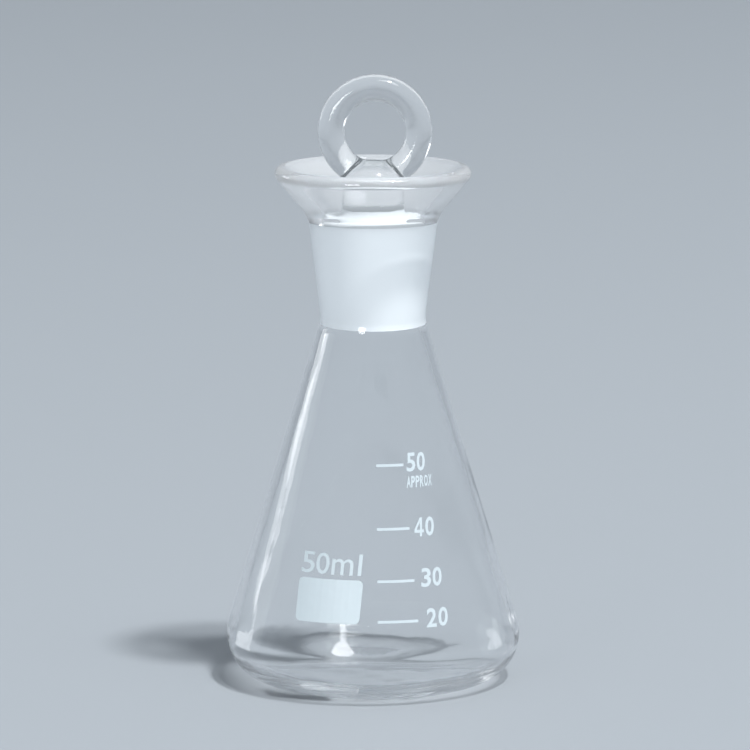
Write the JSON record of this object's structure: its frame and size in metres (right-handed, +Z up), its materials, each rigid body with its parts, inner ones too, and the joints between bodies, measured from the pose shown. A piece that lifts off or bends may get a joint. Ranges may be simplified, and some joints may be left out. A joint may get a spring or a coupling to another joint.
{
  "type": "iodine flask",
  "caption": "Small conical glass flask with a ground glass neck and a flared sealing cup, closed by a ground stopper with a ring handle; white scale marks and a writing patch on the cone.",
  "frame": {"origin": "middle of the base, on the surface that the flask stands on", "axes": "+Z up along the flask's axis, -Y towards the side with the scale marks, +X to the right of someone who reads them"},
  "size_m": [0.051, 0.051, 0.1055],
  "materials": {
    "flask_glass": "clear and fire polished, with the socket's inner wall ground to a white frost",
    "stopper_glass": "clear pressed glass, with the plug's side ground to a white frost",
    "white_enamel": "white vitreous enamel, fired on, satin"
  },
  "bodies": {
    "flask": {"flask_body": "flask_glass", "writing_patch": "white_enamel", "capacity_digit_5": "white_enamel", "capacity_digit_0": "white_enamel", "capacity_letter_m": "white_enamel", "capacity_letter_l": "white_enamel", "line_50": "white_enamel", "line_40": "white_enamel", "line_30": "white_enamel", "line_20": "white_enamel", "numeral_50_tens": "white_enamel", "numeral_50_units": "white_enamel", "numeral_40_tens": "white_enamel", "numeral_40_units": "white_enamel", "numeral_30_tens": "white_enamel", "numeral_30_units": "white_enamel", "numeral_20_tens": "white_enamel", "numeral_20_units": "white_enamel", "note_letter_1": "white_enamel", "note_letter_2": "white_enamel", "note_letter_3": "white_enamel", "note_letter_4": "white_enamel", "note_letter_5": "white_enamel", "note_letter_6": "white_enamel"},
    "stopper": {"stopper": "stopper_glass"}
  },
  "joints": [
    {"name": "stopper_lift", "type": "slide", "parent": "flask", "child": "stopper", "axis": [0, 0, 1], "range_m": [0, 0.04]}
  ]
}
